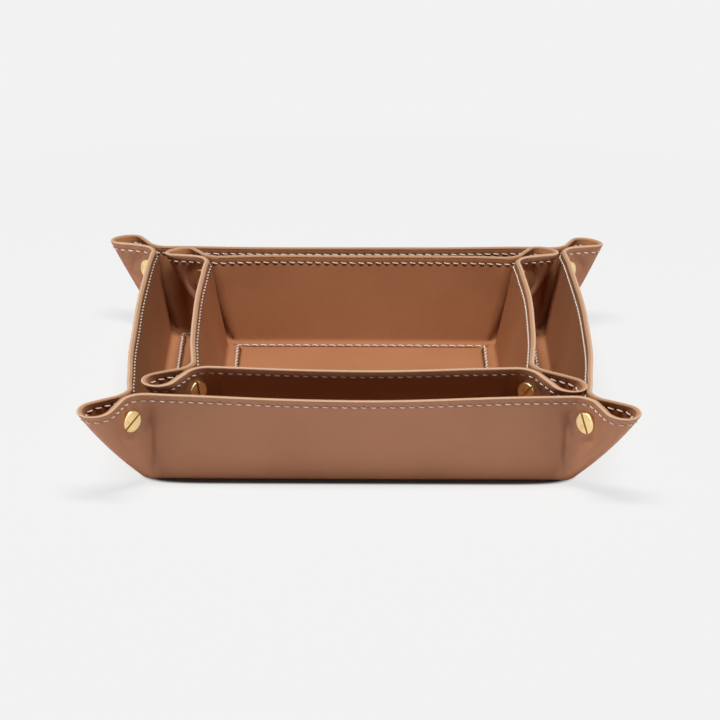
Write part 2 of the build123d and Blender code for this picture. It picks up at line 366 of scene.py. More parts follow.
    def pressed(self, points: Array) -> Array:
        """Presses both leathers of each ear flat under the screw's heads.

        Seen along the screw, an ear's face runs on a hollow arc that is nearest to the ear's middle at
        the neck and then straight on at the flank's angle; towards the wall it ends at nine tenths of
        the arc's radius. What rises above the head's seat is taken off. This fades out past the head's
        rim, and mostly through the leathers.

        Args:
            points: Points of form (count, 3), in the tray's own place.

        Returns:
            The points after pressing.
        """
        x, y, z = np.abs(points).T
        height = np.array(self.screw_height)
        corner = self.corner(height, self.side_bow)
        slope = -math.pi / 4 - float(corner.flank)
        outward, depth = (x + y) / SQUARE, (y - x) / SQUARE
        radial = np.hypot(outward - SQUARE * self.line(height) - self.screw_out, points[:, 2] - height)
        hold = 1 - smooth_step((radial - self.head_radius) / self.head_fade)
        reach = outward - SQUARE * (self.line(z) - self.line(height)) - sum(corner.hollow_at) / SQUARE
        arc = np.clip(reach, -corner.hollow * 0.9, corner.hollow * math.sin(slope))
        face = self.neck(z) + corner.hollow - np.sqrt(corner.hollow**2 - arc**2)
        face += np.maximum(reach - arc, 0) * math.tan(slope)
        inner = np.clip((face - np.abs(depth)) / LEATHERS, 0, 1)
        amount = hold * np.maximum(face - self.head_seat, 0) * (1 - self.head_fade_in * inner)
        amount *= np.sign(depth) * (np.abs(depth) < self.head_reach)
        moved = points.copy()
        moved[:, :2] += np.sign(points[:, :2]) * np.stack([amount, -amount], -1) / SQUARE
        return moved


@dataclass(frozen=True)
class Loop:
    """How finely one quarter of a tray's outline is divided.

    Attributes:
        wall: Steps along half of a wall.
        crowding: Power that crowds these steps towards the corner.
        hollow: Steps along the hollow arc.
        flank: Steps along the flank.
        tip: Steps along half of the tip.
    """

    wall: int = 50
    crowding: float = 1.8
    hollow: int = 16
    flank: int = 12
    tip: int = 10

    def parameters(self) -> Array:
        """The parameter s along half a side: -1 to 0 on the wall, 0 to 3 round the corner.

        Returns:
            The parameter of each column.
        """
        wall = -((1 - np.linspace(0, 1, self.wall, endpoint=False)) ** self.crowding)
        arc = np.linspace(0, 1, self.hollow, endpoint=False)
        flank = 1 + np.linspace(0, 1, self.flank, endpoint=False)
        return np.concatenate([wall, arc, flank, np.linspace(2, 3, self.tip + 1)])

    def quarter(self, shape: TrayShape, z: Array, inset: Array) -> Array:
        """The quarter outline from +X round to +Y.

        The side half, with s rising, is followed by the back half, which is the same function with
        x and y exchanged and s falling.

        Args:
            shape: The tray.
            z: Heights, one row each, a column for every point.
            inset: Insets of the same form.

        Returns:
            Points of form (rows, columns, 2).
        """
        s = self.parameters()
        side, back = slice(0, len(s)), slice(len(s) - 1, None)
        first = shape.half_side(z[:, side], inset[:, side], s, shape.side_bow)
        second = shape.half_side(z[:, back], inset[:, back], s[::-1], shape.front_bow)
        return np.concatenate([np.stack(first, -1), np.stack(second[::-1], -1)[:, 1:]], axis=1)

    @property
    def columns(self) -> int:
        """Number of columns in a quarter, both ends counted."""
        return 2 * len(self.parameters()) - 1


@dataclass
class TrayGrid:
    """Rows of closed outlines of one tray, which are stacked into its surfaces.

    Attributes:
        shape: The tray.
        loop: The division of the outline.
        groove_width: Half width of the groove that the rim's seam presses in.
        crown: How much lower the cut edges lie at their sides than where the two leathers meet.
        rim: Height of the rim at each column of a quarter.
    """

    shape: TrayShape
    loop: Loop = Loop()
    groove_width: float = 0.75
    crown: float = 0.22
    rim: Array = field(init=False)

    def __post_init__(self) -> None:
        """Works out the rim's height for each column."""
        top = np.full((1, self.loop.columns), self.shape.rim_mid)
        points = self.loop.quarter(self.shape, top, np.full_like(top, LEATHER))
        self.rim = self.shape.rim_height(np.hypot(points[..., 0], points[..., 1]))[0]

    def outlines(self, z: Array, inset: Array) -> Array:
        """All four quarters of every row, mirrored from one.

        Args:
            z: Heights of form (rows, columns).
            inset: Insets of the same form.

        Returns:
            Points of form (rows, around, 3).
        """
        quarter = np.concatenate([self.loop.quarter(self.shape, z, inset), z[..., None]], -1)
        turns = []
        for x, y in ((1, 1), (-1, 1), (-1, -1), (1, -1)):
            turned = quarter * np.array([x, y, 1])
            turns.append(turned[:, :-1] if x == y else turned[:, :0:-1])
        return np.concatenate(turns, axis=1)

    def around(self, column_values: Array) -> Array:
        """Repeats a value of each column of a quarter round the whole outline."""
        return np.concatenate([column_values[:-1], column_values[:0:-1]] * 2)

    def wall_rows(self, heights: Array, inset: float, groove: float) -> Array:
        """Rows up a wall at shares of its height, with the seam's groove, a bell curve over the height.

        Args:
            heights: Shares of the rim's height, one for each row.
            inset: The face's distance inward from the outer face.
            groove: Depth of the groove, positive inward.

        Returns:
            Points of form (rows, around, 3).
        """
        z = heights[:, None] * self.rim
        off = (z - self.rim + self.shape.seam_drop) / self.groove_width
        return self.outlines(z, inset + groove * np.exp(-(off**2)))

    def edge_rows(self, start: float, end: float, rounds: tuple[float, float]) -> Array:
        """Rows over a cut edge at the rim: a quarter round, a flat top and another quarter round.

        The top then falls a little by a parabola about the middle of the two leathers.

        Args:
            start: Inset of the face that the edge starts from.
            end: Inset of the face further in that it ends at.
            rounds: Radii of the first and the last round.

        Returns:
            Points of form (rows, around, 3).
        """
        angle = np.linspace(0, math.pi / 2, EDGE_ROWS)
        below, along = np.sin(angle) - 1, 1 - np.cos(angle)
        first, last = rounds
        inset = np.concatenate([start + first * along, end - last * along[::-1]])
        drop = np.concatenate([first * below, last * below[::-1]])
        drop -= self.crown * ((inset - LEATHER) / LEATHER) ** 2
        return self.outlines(self.rim + drop[:, None], inset[:, None] * np.ones_like(self.rim))

    def turn_rows(self, face: float, radius: float) -> Array:
        """Rows up the quarter round between the floor and the walls of one face of the leathers.

        Args:
            face: The face's height on the floor, and its inset on the walls.
            radius: The round's radius.

        Returns:
            Points of form (rows, around, 3).
        """
        angle = np.linspace(0, math.pi / 2, TURN_ROWS)[:, None] * np.ones_like(self.rim)
        return self.outlines(face + radius * (1 - np.cos(angle)), face + radius * (1 - np.sin(angle)))


def smooth_step(x: Array) -> Array:
    """Rises smoothly from 0 to 1 as x goes from 0 to 1: three x squared less two x cubed."""
    x = np.clip(x, 0, 1)
    return x * x * (3 - 2 * x)


def make_mesh(name: str, points: Array, faces: Array) -> bpy.types.Object:
    """Makes an object from points in millimetres and quads, smooth shaded.

    Args:
        name: The object's name.
        points: Points of form (count, 3).
        faces: Corner numbers of form (count, 4); a triangle repeats its last corner.

    Returns:
        The linked object.
    """
    mesh = bpy.data.meshes.new(name)
    quads = faces[faces[:, 2] != faces[:, 3]]
    triangles = faces[faces[:, 2] == faces[:, 3]][:, :3]
    loops = np.concatenate([quads.ravel(), triangles.ravel()]).astype(np.int32)
    totals = np.concatenate([np.full(len(quads), 4), np.full(len(triangles), 3)]).astype(np.int32)
    mesh.vertices.add(len(points))
    mesh.vertices.foreach_set("co", (points * MM).astype(np.float32).ravel())
    mesh.loops.add(len(loops))
    mesh.loops.foreach_set("vertex_index", loops)
    mesh.polygons.add(len(totals))
    mesh.polygons.foreach_set("loop_start", np.concatenate([[0], np.cumsum(totals)[:-1]]).astype(np.int32))
    mesh.polygons.foreach_set("loop_total", totals)
    mesh.polygons.foreach_set("use_smooth", np.ones(len(totals), bool))
    mesh.update(calc_edges=True)
    mesh.validate()
    thing = bpy.data.objects.new(name, mesh)
    bpy.context.scene.collection.objects.link(thing)
    return thing


def set_attribute(thing: bpy.types.Object, name: str, values: Array) -> None:
    """Stores one number for each point, for the materials to read."""
    attribute = thing.data.attributes.new(name, "FLOAT", "POINT")
    attribute.data.foreach_set("value", values.astype(np.float32))


def band_faces(rows: int, around: int) -> Array:
    """Quads between closed rows, each row joined to the next.

    Args:
        rows: Number of rows.
        around: Points in each row.

    Returns:
        Corner numbers of form (count, 4).
    """
    i, j = np.meshgrid(np.arange(rows - 1) * around, np.arange(around), indexing="ij")
    k = (j + 1) % around
    return np.stack([i + j, i + k, i + around + k, i + around + j], -1).reshape(-1, 4)


def fan_faces(first: int, around: int, tip: int, forward: bool = True) -> Array:
    """Triangles that close a ring with one point; each repeats its last corner.

    Args:
        first: The ring's first point.
        around: Points in the ring.
        tip: The point that closes it.
        forward: Whether the triangles follow the ring's own direction.

    Returns:
        Corner numbers of form (count, 4).
    """
    here, after = first + np.arange(around), first + (np.arange(around) + 1) % around
    edge = (here, after) if forward else (after, here)
    return np.stack([*edge, np.full(around, tip), np.full(around, tip)], -1)


def closed_faces(rows: int, around: int) -> Array:
    """Faces of a stack of closed rows, whose ends are closed by the two points after the last row.

    Args:
        rows: Number of rows.
        around: Points in each row.

    Returns:
        Corner numbers of form (count, 4), facing outwards.
    """
    count = rows * around
    ends = fan_faces(0, around, count, False), fan_faces(count - around, around, count + 1)
    return np.concatenate([band_faces(rows, around), *ends])


def tube_faces(rings: int) -> Array:
    """Faces of a short tube of six-sided rings whose end rings are closed across.

    Args:
        rings: Rings along the tube.

    Returns:
        Corner numbers of form (count, 4), facing outwards.
    """
    a, b, c, d, e, f = (rings - 1) * TUBE_SIDES + np.arange(TUBE_SIDES)
    caps = np.array([[3, 2, 1, 0], [5, 4, 3, 0], [a, b, c, d], [a, d, e, f]])
    return np.concatenate([band_faces(rings, TUBE_SIDES), caps])


def slab_faces(rows: int, columns: int) -> Array:
    """Faces of a closed slab: an outer layer of rows, an inner one after it and the four edges between.

    Args:
        rows: Rows of each layer.
        columns: Points in each row.

    Returns:
        Corner numbers of form (count, 4), facing outwards.
    """
    layer = np.arange(rows * columns).reshape(rows, columns)
    outer = np.stack([layer[:-1, :-1], layer[:-1, 1:], layer[1:, 1:], layer[1:, :-1]], -1).reshape(-1, 4)
    edge = np.concatenate([layer[0, :-1], layer[:-1, -1], layer[-1, :0:-1], layer[:0:-1, 0]])
    after = np.roll(edge, -1)
    sides = np.stack([after, edge, edge + layer.size, after + layer.size], -1)
    return np.concatenate([outer, outer[:, ::-1] + layer.size, sides])


@dataclass
class LeatherPiece:
    """One leather of a tray, as a closed skin of rows from the middle of its underside to its top.

    Attributes:
        grid: The tray's grid.
        rounding: Radius of the cut edge's open corner.
        seam_rounding: Radius of the corner where the two leathers meet.
        groove: Depth that the seams press into the leather.
        lining_low: Share of the rim's height above which the lining's even rows start.
        plain_top: Share of the rim's height where a wall's even rows end.
        seam_rows: Shares between which the rows lie closer, about the seam.
        shade_width: Half width of the leather that a seam darkens.
        floor_shade: How much the floor's seam darkens it beside the rim's.
        turn_radius: Radius of the lining's turn from the walls to the floor.
        dip_width: Half width of the groove of the floor's seam.
        rise_start: How far outside the board's edge the floor panel starts to rise.
        rise_reach: How far in from there it reaches its height.
        rise_power, way_power: Powers by which the rise is bent, in height and in its way in.
        flat_start: How far inside the board's edge its flat part starts.
        middle_share: How near to the middle its last row lies, as a share.
    """

    grid: TrayGrid
    rounding: float = 0.5
    seam_rounding: float = 0.12
    groove: float = 0.2
    lining_low: float = 0.1
    plain_top: float = 0.86
    seam_rows: tuple[float, float] = (0.87, 0.985)
    shade_width: float = 0.6
    floor_shade: float = 0.5
    turn_radius: float = 1.6
    dip_width: float = 0.35
    rise_start: float = 0.4
    rise_reach: float = 9.0
    rise_power: float = 1.2
    way_power: float = 1.3
    flat_start: float = 10.0
    middle_share: float = 0.06

    def ring_rows(self, outline: Array, shares: Array, z: Array | float) -> Array:
        """Rows of a floor: the outline drawn in towards the middle, at the given heights.

        Args:
            outline: The outermost ring, of form (around, 3).
            shares: How far each row lies from the middle, 1 being the outline.
            z: Height of each row, or of all.

        Returns:
            Points of form (rows, around, 3).
        """
        rows = outline * shares[:, None, None]
        rows[..., 2] = np.reshape(z, (-1, 1))
        return rows

    def heights(self, low: float, count: int) -> Array:
        """Shares of the rim's height for the rows of a wall, even at first and closer about the seam."""
        even = np.linspace(low, self.plain_top, count + 1)[1:]
        return np.concatenate([even, np.linspace(*self.seam_rows, SEAM_ROWS)])

    def build(self, name: str, stack: list[Array], rim_rows: slice) -> bpy.types.Object:
        """Joins the rows into one closed skin and marks its cut edge, its seams and its creases, where the
        finish paints shade.

        Both seams are marked by a bell curve over the distance from them.

        Args:
            name: The piece's name.
            stack: Groups of rows, from the middle of the underside to the middle of the top.
            rim_rows: The rows that are the cut edge.

        Returns:
            The leather.
        """
        rows = np.concatenate(stack)
        shape, flat = self.grid.shape, rows.reshape(-1, 3)
        poles = np.array([[0, 0, rows[0, 0, 2]], [0, 0, rows[-1, 0, 2]]])
        points = np.concatenate([shape.shaped(flat), poles]) + np.array(shape.place)
        thing = make_mesh(name, points, closed_faces(*rows.shape[:2]))
        edge = np.zeros(rows.shape[:2])
        edge[rim_rows] = 1
        below = self.grid.around(self.grid.rim) - rows[..., 2] - shape.seam_drop
        beside = np.abs(rows[..., :2]).max(axis=-1) - shape.seam_half
        rim_seam, floor_seam = (np.exp(-((off / self.shade_width) ** 2)) for off in (below, beside))
        seam = np.maximum(rim_seam, floor_seam * (rows[..., 2] < PLATEAU_TOP) * self.floor_shade)
        for label, values in (("cut_edge", edge), ("seam", seam), ("crease", shape.crease(flat))):
            set_attribute(thing, label, np.append(values, [0, 0]))
        return thing

    def shell(self) -> bpy.types.Object:
        """The outer leather: a flat sole, a rounded foot, the walls' outer face and the cut edge.

        Returns:
            The leather that replaces the plain shell.
        """
        grid, shape = self.grid, self.grid.shape
        foot = grid.turn_rows(0, shape.foot_edge)
        sole = self.ring_rows(foot[0], SOLE_RINGS, 0)
        heights = self.heights(shape.foot_edge / shape.rim_mid, SHELL_ROWS)
        wall = grid.wall_rows(heights, 0, self.groove)
        edge = grid.edge_rows(0, LEATHER, (self.rounding, self.seam_rounding))
        back = grid.wall_rows(BACK_ROWS[::-1], LEATHER, 0)
        turn = grid.turn_rows(LEATHER, 0)[:1]
        floor = self.ring_rows(turn[0], HIDDEN_RINGS[::-1], LEATHER)
        first = sum(map(len, (sole, foot, wall)))
        stack = [sole, foot, wall, edge, back, turn, floor]
        return self.build(f"{shape.name}_shell_hide", stack, slice(first + 2, first + len(edge)))

    def lining(self) -> bpy.types.Object:
        """The lining: the walls' inner face, the soft turn at their foot and the raised floor panel.

        Returns:
            The leather that replaces the plain lining.
        """
        grid, shape = self.grid, self.grid.shape
        outer = LEATHER + GLUE_LINE
        under = grid.turn_rows(outer, 0)[:1]
        sole = self.ring_rows(under[0], HIDDEN_RINGS, outer)
        back = grid.wall_rows(BACK_ROWS, outer, 0)
        edge = grid.edge_rows(LEATHER, LEATHERS, (self.seam_rounding, self.rounding))
        wall = grid.wall_rows(self.heights(self.lining_low, LINING_ROWS)[::-1], LEATHERS, -self.groove)
        turn = grid.turn_rows(LEATHERS, self.turn_radius)[::-1]
        first = sum(map(len, (sole, under, back)))
        stack = [sole, under, back, edge, wall, turn, *self.panel(turn[-1])]
        return self.build(f"{shape.name}_lining_hide", stack, slice(first, first + len(edge) - 2))

    def panel(self, outline: Array) -> list[Array]:
        """Rows of the lining's floor: the seam's groove, the rise over the board and the flat panel.

        The groove is a bell curve. The rise is a quarter of a sine, bent a little by two powers.

        Args:
            outline: The outermost ring, of form (around, 3).

        Returns:
            Three groups of rows.
        """
        shape, half = self.grid.shape, outline[:, 0].max()
        board = shape.seam_half - shape.board_inset
        dip = self.groove * np.exp(-((DIP_ROWS / self.dip_width) ** 2))
        rise = np.linspace(0, 1, PANEL_ROWS)
        climb = BOARD * np.sin(rise * math.pi / 2) ** self.rise_power
        way = board + self.rise_start - self.rise_reach * rise**self.way_power
        flat = np.linspace((board - self.flat_start) / half, self.middle_share, PANEL_ROWS)
        return [
            self.ring_rows(outline, (shape.seam_half - DIP_ROWS) / half, LEATHERS - dip),
            self.ring_rows(outline, way / half, LEATHERS + climb),
            self.ring_rows(outline, flat, PLATEAU_TOP),
        ]


@dataclass
class WallBoard:
    """A stiff strip between the leathers of one wall, moved with them.

    Attributes:
        shape: The tray's shape.
        turns: Quarter turns from the right wall to this one.
        thickness: The board's thickness.
        low: Height of its lower edge.
        drop: How far its upper edge lies below the rim.
        rows, columns: Its rows, and the points in each.
    """

    shape: TrayShape
    turns: int
    thickness: float = 0.8
    low: float = 4.0
    drop: float = 8.0
    rows: int = 15
    columns: int = 61

    def build(self, name: str) -> bpy.types.Object:
        """Lays the board as a closed strip of rows, whose bow is the wall's parabola.

        Args:
            name: The piece's name.

        Returns:
            The board.
        """
        shape = self.shape
        rim_bow = (shape.side_bow, shape.front_bow)[self.turns % 2]
        half = shape.base_half - shape.wall_board_inset
        z = np.linspace(self.low, shape.rim_mid - self.drop, self.rows)
        z, y = np.meshgrid(z, np.linspace(-half, half, self.columns), indexing="ij")
        end = shape.corner(z, rim_bow).wall_end
        out = shape.line(z) + shape.bow(z, rim_bow) * (1 - (y / end) ** 2)
        first = LEATHER + (GLUE_LINE - self.thickness) / 2
        points = np.stack([np.stack([out - inset, y, z], -1) for inset in (first, first + self.thickness)])
        turn = math.pi / 2 * self.turns
        cos, sin = math.cos(turn), math.sin(turn)
        spin = np.array([[cos, sin, 0], [-sin, cos, 0], [0, 0, 1]])
        points = shape.shaped(points.reshape(-1, 3) @ spin) + np.array(shape.place)
        return make_mesh(name, points, slab_faces(self.rows, self.columns))


@dataclass(frozen=True)
class Stitch:
    """The sizes of one seam's stitches.

    Attributes:
        length: Length of a stitch.
        radius: Radius of its thread.
        hole_shadow: Half length of a needle hole, a dark lens of painted shadow.
        slant: Angle in degrees that each stitch leans from the seam's line.
    """

    length: float
    radius: float
    hole_shadow: float
    slant: float


RIM_STITCHES = {Face.OUTSIDE: Stitch(2.8, 0.31, 0.2, 6.0), Face.LINING: Stitch(3.4, 0.4, 0.5, 9.0)}
FLOOR_STITCH = Stitch(4.2, 0.46, 0.1, 15.0)


@dataclass
class Stitching:
    """Rows of separate stitches: short thick threads that rise out of one hole and dive into the next.

    Attributes:
        grid: The tray's grid.
        arch_top: How far the middle of a stitch lies above the seam's line.
        arch_drop: How much lower than its middle a stitch's ends lie.
        end_share: The least square of a stitch's radius at its ends, as a share.
        hole_depth: Depth of a needle hole's rim below the line, of its lens's top, and of its floor.
        hole_width: Width of a needle hole as a share of its length.
        sole_depth: Height of the seam's line in the sole.
        floor_steps: Steps along one side of the floor's seam.
        rings: Rings along a stitch.
    """

    grid: TrayGrid
    arch_top: float = 0.22
    arch_drop: float = 0.5
    end_share: float = 0.02
    hole_depth: tuple[float, float, float] = (0.14, 0.12, 0.3)
    hole_width: float = 0.7
    sole_depth: float = 0.55
    floor_steps: int = 160
    rings: int = 7

    def rim(self, face: Face) -> bpy.types.Object:
        """The seam below the rim on one face, round all walls and ears.

        Args:
            face: Which face of the leathers.

        Returns:
            The row of stitches.
        """
        shape, outside = self.grid.shape, face is Face.OUTSIDE
        z = self.grid.rim[None, :] - shape.seam_drop
        inset = np.full_like(z, 0 if outside else LEATHERS)
        line, deeper = (shape.shaped(self.grid.outlines(z, inset + deep)[0]) for deep in (0, 1))
        normal = line - deeper if outside else deeper - line
        return self.row(f"{shape.name}_rim_{face.value}_stitches", line, normal, RIM_STITCHES[face])

    def floor(self, face: Face) -> bpy.types.Object:
        """The square seam round the floor panel, on the lining or on the sole.

        Args:
            face: Which face of the leathers.

        Returns:
            The row of stitches.
        """
        shape, inside = self.grid.shape, face is Face.LINING
        half = shape.seam_half
        side = np.linspace(-half, half, self.floor_steps, endpoint=False)
        edge = np.full_like(side, half)
        z = np.full_like(side, LEATHERS if inside else self.sole_depth)
        corners = [(edge, side), (-side, edge), (-edge, -side), (side, -edge)]
        line = np.concatenate([np.stack([x, y, z], -1) for x, y in corners])
        normal = np.zeros_like(line) + np.array([0, 0, 1.0 if inside else -1.0])
        return self.row(f"{shape.name}_base_{face.value}_stitches", line, normal, FLOOR_STITCH)

    def row(self, name: str, line: Array, normal: Array, stitch: Stitch) -> bpy.types.Object:
        """Lays stitches at even steps along a closed line.

        A stitch is a tube along a low arch. Its radius fades towards both ends as the square root of
        one less the fourth power, and the arch is a parabola that dips under the leather at its ends.

        Args:
            name: The piece's name.
            line: Points of the closed line, of form (count, 3).
            normal: The leather's outward direction at each point.
            stitch: The stitches' sizes.

        Returns:
            All the stitches as one mesh.
        """
        closed, normals = (np.vstack([values, values[:1]]) for values in (line, normal))
        length = np.concatenate([[0], np.cumsum(np.linalg.norm(np.diff(closed, axis=0), axis=1))])
        count = int(round(length[-1] / STITCH_PITCH))
        at = (np.arange(count) + 0.5) * length[-1] / count
        between = at + length[-1] / count / 2

        def read(values: Array, places: Array) -> Array:
            """Reads values at places along the closed line."""
            wrapped = places % length[-1]
            return np.stack([np.interp(wrapped, length, values[:, k]) for k in range(3)], -1)

        before, after = read(closed, at - stitch.length / 2), read(closed, at + stitch.length / 2)
        middle = (before + after) / 4 + read(closed, at) / 2
        tangent = unit(after - before)
        out = read(normals, at)
        out = unit(out - tangent * np.sum(out * tangent, -1, keepdims=True))
        lean = math.radians(stitch.slant)
        forward = tangent * math.cos(lean) + np.cross(tangent, out) * math.sin(lean)
        sideways = np.cross(forward, out)
        a = np.linspace(-1, 1, self.rings)
        radius = stitch.radius * np.maximum(1 - a**4, self.end_share) ** 0.5
        along, arch = (a * stitch.length / 2)[:, None], (self.arch_top - self.arch_drop * a**2)[:, None]
        spine = middle[:, None] + forward[:, None] * along + out[:, None] * arch
        ring = out[:, None, None] * np.cos(TUBE_TURN) + sideways[:, None, None] * np.sin(TUBE_TURN)
        points = spine[:, :, None] + ring * radius[:, None, None]
        starts = np.arange(count)[:, None, None] * (self.rings * TUBE_SIDES)
        points, faces = points.reshape(-1, 3), (tube_faces(self.rings)[None] + starts).reshape(-1, 4)
        hole_out = unit(read(normals, between))
        holes, hole_faces = self.holes(read(closed, between), hole_out, tangent * stitch.hole_shadow)
        tint = np.repeat(np.random.default_rng(count).random(count), self.rings * TUBE_SIDES)
        faces = np.concatenate([faces, hole_faces + len(points)])
        points = np.concatenate([points, holes])
        thing = make_mesh(name, points + np.array(self.grid.shape.place), faces)
        set_attribute(thing, "tint", np.concatenate([tint, np.zeros(len(holes))]))
        set_attribute(thing, "hole_shadow", np.arange(len(points)) >= len(tint))
        return thing

    def holes(self, middle: Array, out: Array, tangent: Array) -> tuple[Array, Array]:
        """Needle holes between the stitches: flat six-sided lenses set into the groove, dark as painted
        shadow.

        Args:
            middle: Place of each hole on the seam's line.
            out: The leather's outward direction there.
            tangent: The seam's direction there, as long as half a hole.

        Returns:
            The lenses' points and their faces.
        """
        across = np.cross(tangent, out)[:, None] * self.hole_width
        edge, top, low = (middle[:, None] - out[:, None] * depth for depth in self.hole_depth)
        ring = edge + tangent[:, None] * np.cos(TUBE_TURN) + across * np.sin(TUBE_TURN)
        points = np.concatenate([ring, top, low], axis=1)
        caps = [fan_faces(0, TUBE_SIDES, TUBE_SIDES, False), fan_faces(0, TUBE_SIDES, TUBE_SIDES + 1)]
        faces = np.concatenate(caps)[None] + np.arange(len(middle))[:, None, None] * (TUBE_SIDES + 2)
        return points.reshape(-1, 3), faces.reshape(-1, 4)


def mark_slot(node: bpy.types.Object) -> None:
    """Marks the faces of a screw's slot, which lie near its axis but not on the head's own top, for the
    brass finish's painted shade.

    The axis runs level through the middle of the piece. A face of the slot's floor looks along the
    axis from below the top; a wall of the slot looks across it from a plane close to the axis.

    Args:
        node: The screw or post.
    """
    mesh = node.data
    normals, centres = np.empty((2, 3 * len(mesh.polygons)))
    mesh.polygons.foreach_get("normal", normals)
    mesh.polygons.foreach_get("center", centres)
    turn = np.array(node.matrix_world.to_3x3())
    normals = normals.reshape(-1, 3) @ turn.T
    centres = centres.reshape(-1, 3) @ turn.T + np.array(node.matrix_world.translation)
    middle = (centres.min(axis=0) + centres.max(axis=0)) / 2
    along = np.array([-np.sign(middle[0]), -1.0 if "front" in node.name else 1.0, 0.0]) / SQUARE
    depth = (centres - middle) @ along
    below = (depth.max() - depth) / MM
    looks = normals @ along
    plane = np.abs(np.sum(normals * (centres - middle), axis=-1) - looks * depth) / MM
    floor = (looks > ALONG_AXIS) & (below > SLOT_FLOOR[0]) & (below < SLOT_FLOOR[1])
    walls = (np.abs(looks) < ACROSS_AXIS) & (plane < SLOT_REACH) & (below < SLOT_REACH)
    attribute = mesh.attributes.new("slot", "FLOAT", "FACE")
    attribute.data.foreach_set("value", (floor | walls).astype(np.float32))


def unit(vectors: Array) -> Array:
    """Vectors of length one in the same directions."""
    return vectors / np.linalg.norm(vectors, axis=-1, keepdims=True)


class NodeKit:
    """Short ways to lay out a shader's nodes."""

    def __init__(self, tree: bpy.types.NodeTree) -> None:
        """Keeps the node tree."""
        self.tree = tree

    def add(self, kind: str, inputs: Inputs | None = None, **settings: object) -> bpy.types.Node:
        """Adds a node, sets its properties and then feeds its inputs.

        Args:
            kind: The node's type name.
            inputs: A socket or a plain value for inputs, by their name or number.
            settings: Properties of the node.

        Returns:
            The node.
        """
        node = self.tree.nodes.new(kind)
        for name, value in settings.items():
            setattr(node, name, value)
        self.feed(node, inputs or {})
        return node

    def feed(self, node: bpy.types.Node, inputs: Inputs) -> None:
        """Joins sockets to a node's inputs, or sets these to plain values.

        Args:
            node: The node.
            inputs: A socket or a plain value for each input, by its name or number.
        """
        for name, value in inputs.items():
            if isinstance(value, Socket):
                self.tree.links.new(value, node.inputs[name])
            else:
                node.inputs[name].default_value = value

    def math(self, operation: str, *values: object) -> Socket:
        """A Math node between sockets or numbers."""
        return self.add("ShaderNodeMath", dict(enumerate(values)), operation=operation).outputs[0]

    def mix(self, factor: Socket, first: object, second: object) -> Socket:
        """A mix of two colours, the first at 0 and the second at 1."""
        return self.add("ShaderNodeMix", {0: factor, 6: first, 7: second}, data_type="RGBA").outputs[2]

    def ramp(self, value: Socket, low: float, high: float) -> Socket:
        """Stretches the part of a value between two limits smoothly to 0 and 1."""
        inputs = {"Value": value, "From Min": low, "From Max": high}
        return self.add("ShaderNodeMapRange", inputs, interpolation_type="SMOOTHSTEP").outputs[0]

    def noise(self, place: Socket, scale: float, detail: float) -> Socket:
        """A noise texture's value at a place, by its features in a metre and its octaves."""
        return self.add("ShaderNodeTexNoise", {"Vector": place, "Scale": scale, "Detail": detail}).outputs[0]

    def blend(self, factor: Socket, first: bpy.types.Node, second: bpy.types.Node) -> Socket:
        """A mix of two shaders, the first at 0 and the second at 1."""
        inputs = {0: factor, 1: first.outputs[0], 2: second.outputs[0]}
        return self.add("ShaderNodeMixShader", inputs).outputs[0]


class GroupKit(NodeKit):
    """A new node group that reads a Place and its Scale."""

    def __init__(self, name: str) -> None:
        """Makes the group and scales its place.

        Args:
            name: The group's name.
        """
        super().__init__(bpy.data.node_groups.new(name, "ShaderNodeTree"))
        sockets = self.tree.interface
        sockets.new_socket("Place", in_out="INPUT", socket_type="NodeSocketVector")
        sockets.new_socket("Scale", in_out="INPUT", socket_type="NodeSocketFloat").default_value = 1.0
        source = self.add("NodeGroupInput").outputs
        inputs = {0: source["Place"], "Scale": source["Scale"]}
        self.place = self.add("ShaderNodeVectorMath", inputs, operation="SCALE").outputs[0]

    def finish(self, outputs: Mapping[str, Socket]) -> bpy.types.NodeTree:
        """Puts out the named numbers.

        Args:
            outputs: A socket for each name.

        Returns:
            The group.
        """
        for label in outputs:
            self.tree.interface.new_socket(label, in_out="OUTPUT", socket_type="NodeSocketFloat")
        self.add("NodeGroupOutput", outputs)
        return self.tree


class MaterialKit(NodeKit):
    """A new material with its Principled shader."""

    def __init__(self, name: str) -> None:
        """Makes the material and finds the object's own coordinates.

        Args:
            name: The material's name.
        """
        self.material = bpy.data.materials.new(name)
        self.material.use_nodes = True
        super().__init__(self.material.node_tree)
        self.shader = self.tree.nodes["Principled BSDF"]
        self.place = self.add("ShaderNodeTexCoord").outputs["Object"]

    def attribute(self, name: str) -> Socket:
        """A number that the mesh keeps for each point or face."""
        return self.add("ShaderNodeAttribute", attribute_name=name).outputs["Fac"]

    def bump(self, height: Socket, strength: float, distance: float) -> Socket:
        """The normal of a surface with a height, which is as deep in metres as the distance."""
        inputs = {"Height": height, "Strength": strength, "Distance": distance}
        return self.add("ShaderNodeBump", inputs).outputs[0]

    def dress(self, inputs: Inputs) -> bpy.types.Material:
        """Feeds the shader's inputs and gives back the material."""
        self.feed(self.shader, inputs)
        return self.material


def grain_group() -> bpy.types.NodeTree:
    """Leather grain: small pebbles cut by fine creases, with pores.

    Returns:
        A group that puts out Height, Crease and Pore.
    """
    kit = GroupKit("HideGrain")
    cells = {"Vector": kit.place, "Scale": 950}
    edges = kit.add("ShaderNodeTexVoronoi", cells, feature="DISTANCE_TO_EDGE").outputs["Distance"]
    creases = kit.ramp(edges, 0.0, 0.16)
    pores = kit.ramp(kit.noise(kit.place, 2300, 2), 0.62, 0.74)
    pebbles = kit.math("MULTIPLY", kit.noise(kit.place, 620, 3), 0.55)
    height = kit.math("MULTIPLY_ADD", creases, 0.45, pebbles)
    return kit.finish({
        "Height": kit.math("SUBTRACT", height, kit.math("MULTIPLY", pores, 0.35)),
        "Crease": kit.math("SUBTRACT", 1.0, creases),
        "Pore": pores,
    })


